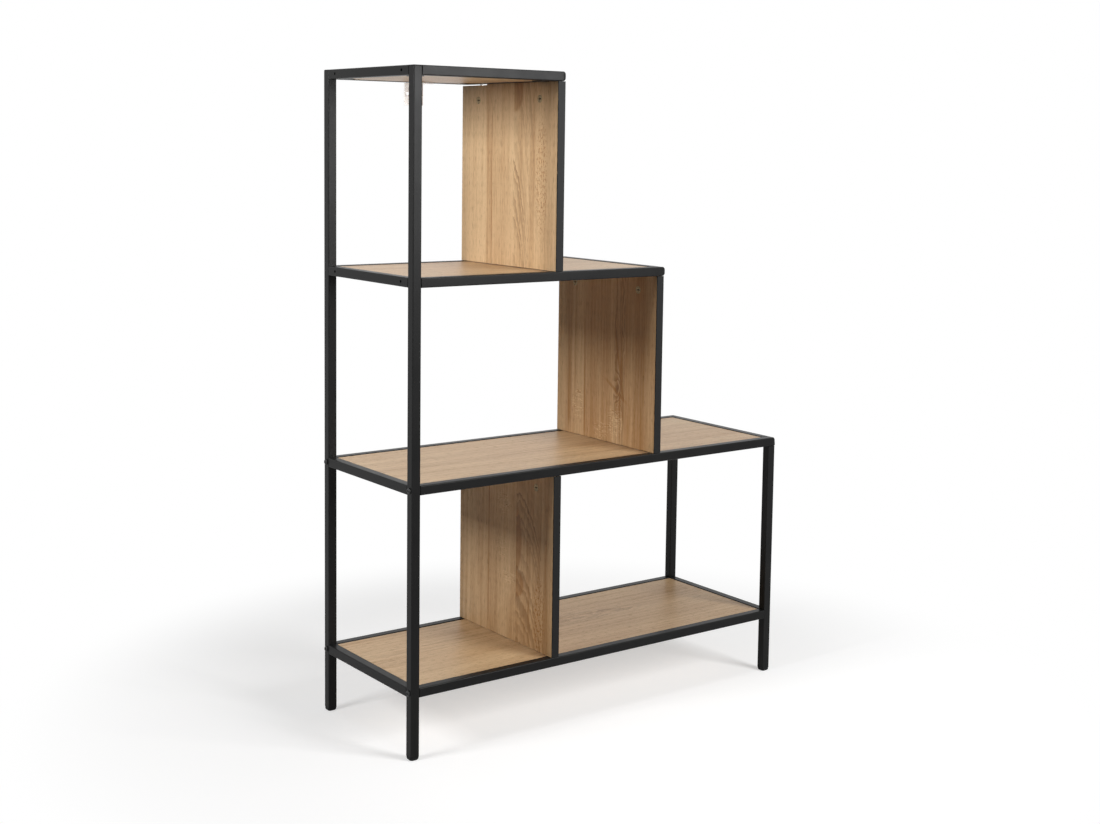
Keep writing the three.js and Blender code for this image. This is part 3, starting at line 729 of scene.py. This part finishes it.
def seatDisc(disc, seat):
    # marks painted shade as a recess share, 1 on what lies a millimetre or more under the disc's face and 0
    # on the face, and moves the disc from the origin, where its cuts come out cleanest, to its seat in the
    # panel
    place = pointsOf(disc.data)
    setShare(disc.data, "recess", np.clip(place[:, 0] / mm, 0, 1))
    disc.data.vertices.foreach_set("co", (place + np.array(seat)).ravel())


for level, look in panelPrints.items():
    node = f"divider_panel_{level}"
    low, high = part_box(node)
    size = high - low
    place = (low.x, (low.y + high.y) / 2, (low.z + high.z) / 2)
    sheet = stand(slab(size.y, size.z, size.x, board["corner"], board["edge"]), place, "x")
    panel = makeObject(node + "_sheet", [sheet])
    over = hole["over"]
    middleX, rear = (low.x + high.x) / 2, high.y - relief["length"] / 2 + over
    block = slab(size.x + 2 * over, relief["length"] + 2 * over, relief["depth"] + over,
                 relief["corner"], relief["corner"], 1)
    cuts = [stand(block, (middleX, rear, high.z - relief["depth"]))]
    for where in ("front", "rear"):
        body = f"cam_{level}_{where}"
        camLow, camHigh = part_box(body)
        middle, radius = (camLow + camHigh) / 2, (camHigh.z - camLow.z) / 2
        cuts.append(drill(radius + cam["gap"], low.x - over, camHigh.x + cam["gap"], "x", middle))
        boltLow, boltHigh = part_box(f"cam_bolt_{level}_{where}")
        boltMiddle = (boltLow + boltHigh) / 2
        cuts.append(drill(cam["bore"], middle.z, high.z + over, "z", boltMiddle))
        if where == "front":
            floorZ = boltHigh.z - collarSeat["under"]
            cuts.append(drill(collarSeat["radius"], floorZ, high.z + over, "z", boltMiddle))
        disc = makeObject(body + "_turned", [stand(turned(camRows(radius)), origin, "x")])
        start, end, front, back = cam["window"]
        wall = (cam["cavity"] - over, radius + over)
        reshape(disc, "DIFFERENCE", [
            drill(cam["cavity"], cam["front"], camHigh.x - camLow.x + over, "x", origin),
            stand(arc(start, end, *wall, front, back), origin, "x"),
            stand(arc(*cam["mouth"][:2], *wall, *cam["mouth"][2:]), origin, "x")])
        seatDisc(disc, (camLow.x, middle.y, middle.z))
        finishPiece(disc, camFinish, [body], body)
    reshape(panel, "DIFFERENCE", cuts)
    finishPiece(panel, oakPrint(f"oakPanel{level}", **look), [node], grain=2)
    node = f"divider_edging_{level}"
    strip = makeObject(node + "_strip", [edgingSurface(*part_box(node))])
    finishPiece(strip, plasticFinish, [node])
print("panels and cams")


# Bolts and screws

camBolt = {"head": 3.5 * mm, "headHeight": 2.5 * mm, "neck": 2.2 * mm, "neckLength": 6.4 * mm,
           "collar": 4.5 * mm, "collarHeight": 1.2 * mm, "crest": 3 * mm, "root": 0.7 * mm,
           "threadLength": 10 * mm, "pitch": 1.6 * mm, "chamfer": 0.2 * mm, "shoulder": 0.6 * mm,
           "edge": 0.1 * mm}
frameBolt = {"head": 5.5 * mm, "rise": 3 * mm, "socket": 2 * mm, "socketDepth": 2 * mm, "crown": 3.3 * mm,
             "crest": 3 * mm, "root": 0.5 * mm, "length": 30 * mm, "pitch": 1 * mm, "socketCone": 0.3 * mm,
             "socketEdge": 0.12 * mm, "edge": 0.1 * mm, "plain": 2 * mm}
# how long the cone at a bolt's tip is, and how far before the end the thread runs out
boltEnd = {"cone": 0.4 * mm, "runOut": 0.6 * mm}
bracketScrew = {"head": 4 * mm, "rise": 2.4 * mm, "shank": 1.75 * mm, "length": 14 * mm, "pitch": 1.4 * mm,
                "cross": 2.2 * mm, "crossShare": 0.26, "crossDepth": 1.5 * mm}


def boltTip(end, crest, root):
    # from the root of the thread: a short cone, then the flat end
    return [(end - boltEnd["cone"], crest - root), (end, crest - 2 * root), (end, crest * 0.1)]


def camBoltSurface(length, head, headHeight, neck, neckLength, collar, collarHeight, crest, root,
                   threadLength, pitch, chamfer, shoulder, edge, sides=48):
    # from the tip in the cam: a cone, a straight head, the neck, the shank, the collar and the thread
    seat = length - threadLength
    under = seat - collarHeight
    neckTop = headHeight + neckLength
    rows = [(0, neck * 0.1), (0, neck), (headHeight * 0.5, head), (headHeight * 0.9, head),
            (headHeight, head - chamfer), (headHeight, neck), (neckTop - shoulder, neck), (neckTop, head),
            (under, head), (under, collar - chamfer), (under + chamfer, collar), (seat - edge, collar),
            (seat, collar - edge), (seat, crest - root)]
    spiral = thread(seat + chamfer, length - boltEnd["runOut"], crest, root, pitch, sides)
    return turned(rings(rows, sides), spiral, rings(boltTip(length, crest, root), sides))


def frameBoltSurface(head, rise, socket, socketDepth, crown, crest, root, length, pitch, socketCone,
                     socketEdge, edge, plain, sides=48):
    # from the bottom of its six-sided socket: the socket's wall, the button's quarter ellipse, the thread
    turn = np.linspace(0, pi / 2, 9)[1:]
    button = [(rise * 0.85 * (1 - cos(angle)), crown + (head - crown) * sin(angle)) for angle in turn]
    front = [(socketDepth + socketCone, socket * 0.1), (socketDepth, socket * 0.97, "six"),
             (socketEdge, socket, "six"), (0, socket * 1.08, "six"), (0, crown)]
    back = [(rise - edge, head), (rise, head - edge), (rise, crest - edge)]
    end = rise + length
    spiral = thread(rise + plain, end - boltEnd["runOut"], crest, root, pitch, sides)
    return turned(rings(front + button + back, sides), spiral, rings(boltTip(end, crest, root), sides))


for level in (1, 2, 3):
    for where in ("front", "rear"):
        node = f"cam_bolt_{level}_{where}"
        low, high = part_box(node)
        place = ((low.x + high.x) / 2, (low.y + high.y) / 2, low.z)
        bolt = makeObject(node + "_turned", [stand(camBoltSurface(high.z - low.z, **camBolt), place)])
        finishPiece(bolt, zincFinish, [node])
for level in (1, 2):
    for where in ("front", "rear"):
        node = f"frame_bolt_{level}_{where}"
        low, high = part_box(node)
        place = (low.x, (low.y + high.y) / 2, (low.z + high.z) / 2)
        bolt = makeObject(node + "_turned", [stand(frameBoltSurface(**frameBolt), place, "x")])
        finishPiece(bolt, boltFinish, [node])
low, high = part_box("bracket_screw")
place = ((low.x + high.x) / 2, (low.y + high.y) / 2, low.z)
finishPiece(makeObject("bracket_screw_turned", [stand(screwSurface(**bracketScrew), place)]), zincFinish,
            ["bracket_screw"])
print("bolts and screws")


# Feet and caps

foot = {"side": 18.8 * mm, "height": 6 * mm, "round": 4 * mm, "aside": 4 * mm, "corner": 5 * mm}
postCap = {"side": 17.8 * mm, "height": 2 * mm, "round": 1.5 * mm, "aside": 1.5 * mm, "corner": 2 * mm}
railCap = {"side": 17.8 * mm, "height": 5 * mm, "round": 4.6 * mm, "aside": 1 * mm, "corner": 2 * mm}
plug = {"side": 15 * mm, "corner": 0.8 * mm, "length": 14 * mm, "rib": 0.25 * mm, "ribs": 4,
        "edge": 0.1 * mm, "taperFrom": 0.86, "taper": 1.2 * mm}


def plugSurface(head, axis, cornered):
    # from the outer face: the outline grows by a quarter circle, more upwards than aside, to the head's
    # full side; then a stem with raised ribs. The lower half of a cornered head has its full outline
    turn = np.linspace(0, pi / 2, 9)
    inset = np.concatenate([head["round"] * (1 - np.sin(turn)), [0, plug["edge"]]])
    along = np.concatenate([head["round"] * (1 - np.cos(turn)),
                            [head["height"] - plug["edge"], head["height"]]])
    full = [ring[0] for ring in outlines([head["side"]], head["side"], head["corner"], 6)]
    shrunk = [ring * (1 - 2 * np.minimum(inset, most)[:, None] / head["side"])
              for ring, most in zip(full, (head["round"], head["aside"]))]
    if cornered:
        shrunk = [np.where(full[0] < 0, ring, less) for ring, less in zip(full, shrunk)]
    ribAlong = np.linspace(0, plug["length"], 10 * plug["ribs"])
    lean = ribAlong / plug["length"] * plug["ribs"] % 1
    last = (ribAlong / plug["length"] - plug["taperFrom"]) / (1 - plug["taperFrom"])
    taper = np.clip(last, 0, 1) * plug["taper"]
    stemSide = plug["side"] - plug["rib"] + 2 * plug["rib"] * (1 - lean) - taper
    x, y = (np.concatenate(pair) for pair in zip(shrunk, outlines(stemSide, stemSide, plug["corner"], 6)))
    if axis == "x":
        # a quarter turn, so that a cap's first axis points up
        x, y = y, -x
    return skin(x, y, np.concatenate([along, head["height"] + ribAlong]))


for side in ("front", "rear"):
    plugs = [(f"{side}_{hand}_foot", foot, "z", False) for hand in ("left", "right")]
    plugs += [(f"{side}_post_cap", postCap, "z", True)]
    plugs += [(f"{side}_rail_cap_{level}", railCap, "x", True) for level in (2, 3, 4)]
    for node, head, axis, flipped in plugs:
        low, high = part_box(node)
        place = (low + high) / 2
        number = "xyz".index(axis)
        place[number] = high[number] if flipped else low[number]
        surface = plugSurface(head, axis, node.endswith("rail_cap_2"))
        moulding = makeObject(node + "_moulding", [stand(surface, place, axis, flipped)])
        finishPiece(moulding, plasticFinish, [node])
print("feet and caps")


# Wall bracket, bent from sheet

bracket = {"thick": 2 * mm, "bend": 1 * mm, "slotLength": 12 * mm, "slotWidth": 6 * mm, "slotSpread": 22 * mm,
           "slotDrop": 21 * mm, "screwInset": 31 * mm, "edge": 0.3 * mm}
low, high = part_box("wall_bracket")
thick, bend = bracket["thick"], bracket["bend"]
turn = np.linspace(0, pi / 2, 8)
# the section, anticlockwise from the level leg's front: under it, round the inner bend, down and up the
# wall leg, and round the outer bend
innerY, innerZ = high.y - thick - bend + bend * np.sin(turn), high.z - thick - bend + bend * np.cos(turn)
outerY = high.y - thick - bend + (thick + bend) * np.cos(turn)
outerZ = high.z - thick - bend + (thick + bend) * np.sin(turn)
sectionY = np.concatenate([[low.y], innerY, [high.y - thick, high.y], outerY, [low.y]])
sectionZ = np.concatenate([[high.z - thick], innerZ, [low.z, low.z], outerZ, [high.z]])
section = skin(np.tile(sectionY, (2, 1)), np.tile(sectionZ, (2, 1)), [low.x, high.x])
plate = makeObject("wall_bracket_plate", [stand(section, origin, "x")])
middleX, slotZ = (low.x + high.x) / 2, high.z - bracket["slotDrop"]
slots = []
for shift in (-bracket["slotSpread"] / 2, bracket["slotSpread"] / 2):
    x, y = outlines([bracket["slotWidth"]] * 2, bracket["slotLength"], bracket["slotWidth"] / 2 * 0.999, 12)
    slots.append(stand(skin(x, y, [0, thick + 2 * hole["over"]]),
                       (middleX + shift, high.y - thick - hole["over"], slotZ), "y"))
screwHole = drill(hole["screw"], high.z - thick - hole["over"], high.z + hole["over"], "z",
                  (middleX, high.y - bracket["screwInset"], 0))
reshape(plate, "DIFFERENCE", slots + [screwHole])
finishPiece(plate, zincFinish, ["wall_bracket"], edge=bracket["edge"])
print("wall bracket")


# Floor, light and camera

studio = {
    "floorSize": 14, "floorLight": grey(0.66), "floorDark": grey(0.64), "floorSeen": grey(0.60),
    "floorLift": 0.52, "shadowReach": (0.60, 1.10), "ambient": 0.02,
    "lamps": {
        "overhead": {"place": (0.1, 0.1, 3.0), "aim": (0.1, 0, 0.6), "size": (2.4, 1.8), "power": 16,
                     "spread": 180},
        "left": {"place": (-2.15, -0.05, 1.58), "aim": (-0.1, 0, 0.95), "size": (0.6, 0.66), "power": 10.2,
                 "spread": 90},
        "frontRight": {"place": (0.95, -2.45, 1.62), "aim": (-0.3, 0, 1.1), "size": (1.1, 1.4), "power": 82,
                       "spread": 180},
    },
}


def seenShare(finish):
    # 1 for rays that show a background: from the camera, mirrored, or through glass
    path = {name: finish.add("LightPath", {}, {}, name) for name in
            ("Is Camera Ray", "Is Glossy Ray", "Is Transmission Ray")}
    total = path["Is Camera Ray"] + path["Is Glossy Ray"] + path["Is Transmission Ray"]
    return finish.maths("MINIMUM", total, 1)


def studioFloor():
    # lights the object as a grey floor, is seen paler than it lights, and is white beyond the shadow's reach
    half = studio["floorSize"] / 2
    corners = np.array([[-half, -half, 0], [half, -half, 0], [half, half, 0], [-half, half, 0]])
    floor = makeObject("studioFloor", [(corners, np.array([[0, 1, 2, 3]]), [])])
    finish = Finish(bpy.data.materials.new("paleFloor"))
    place = finish.add("TexCoord", {}, {}, "Object")
    reach = finish.add("VectorMath", {"operation": "LENGTH"}, {0: place}, "Value")
    far = finish.within(reach, *studio["shadowReach"])
    mottled = finish.noise(place, (3, 3, 3), 2)
    lightColour = finish.blend(mottled, studio["floorLight"], studio["floorDark"])
    lit = finish.add("BsdfDiffuse", {}, {"Color": lightColour})
    seen = finish.add("BsdfDiffuse", {}, {"Color": studio["floorSeen"]})
    lift = finish.add("Emission", {}, {"Strength": studio["floorLift"]})
    white = finish.add("Emission", {}, {"Strength": 1.0})
    near = finish.add("AddShader", {}, {0: seen, 1: lift})
    shown = finish.add("MixShader", {}, {0: far, 1: near, 2: white})
    finish.add("OutputMaterial", {}, {"Surface": finish.add(
        "MixShader", {}, {0: seenShare(finish), 1: lit, 2: shown})})
    floor.data.materials.append(finish.owner)


def studioWorld():
    # a faint light all round, and white where the background is seen
    world = bpy.data.worlds.new("studio")
    bpy.context.scene.world = world
    finish = Finish(world)
    ambient = finish.add("Background", {}, {"Strength": studio["ambient"]})
    white = finish.add("Background", {}, {"Color": grey(1.0), "Strength": 1.0})
    finish.add("OutputWorld", {}, {"Surface": finish.add(
        "MixShader", {}, {0: seenShare(finish), 1: ambient, 2: white})})


def studioLamps():
    # one rectangular lamp for each entry, turned to its aim and out of the camera's sight
    for name, spec in studio["lamps"].items():
        light = bpy.data.lights.new(name, "AREA")
        light.shape, light.size, light.size_y = "RECTANGLE", *spec["size"]
        light.energy, light.spread = spec["power"], radians(spec["spread"])
        lamp = bpy.data.objects.new(name, light)
        bpy.context.scene.collection.objects.link(lamp)
        lamp.location = spec["place"]
        beam = Vector(spec["aim"]) - Vector(spec["place"])
        lamp.rotation_euler = beam.to_track_quat("-Z", "Y").to_euler()
        lamp.visible_camera = False


# place and clipEnd are in metres, the angles in degrees, and focal, axis and image in pixels of the photo
view = {"place": (-1.90290, -2.56005, 1.12556), "turn": 36.7145, "down": 5.6991, "roll": -0.7842,
        "focal": 1583.57, "axis": (563.04, 301.81), "image": (1100, 824), "sensor": 36, "clipEnd": 60}


def photoCamera():
    # the line of sight, its right and its down, turned by the roll; the shift puts the axis where it falls
    turn, down, roll = (radians(view[key]) for key in ("turn", "down", "roll"))
    sight = np.array([sin(turn) * cos(down), cos(turn) * cos(down), -sin(down)])
    right = np.array([cos(turn), -sin(turn), 0])
    under = np.cross(sight, right)
    right, under = cos(roll) * right + sin(roll) * under, cos(roll) * under - sin(roll) * right
    lens = bpy.data.cameras.new("photoCamera")
    camera = bpy.data.objects.new("photoCamera", lens)
    bpy.context.scene.collection.objects.link(camera)
    camera.matrix_world = Matrix.Translation(view["place"]) @ Matrix(
        np.column_stack([right, -under, -sight]).tolist()).to_4x4()
    width, height = view["image"]
    lens.sensor_width = view["sensor"]
    lens.lens = view["focal"] * lens.sensor_width / width
    lens.shift_x = (width / 2 - view["axis"][0]) / width
    lens.shift_y = (view["axis"][1] - height / 2) / width
    lens.clip_end = view["clipEnd"]
    bpy.context.scene.camera = camera


studioFloor()
studioWorld()
studioLamps()
photoCamera()
bpy.context.scene.view_settings.view_transform = "Standard"
print("studio and camera")
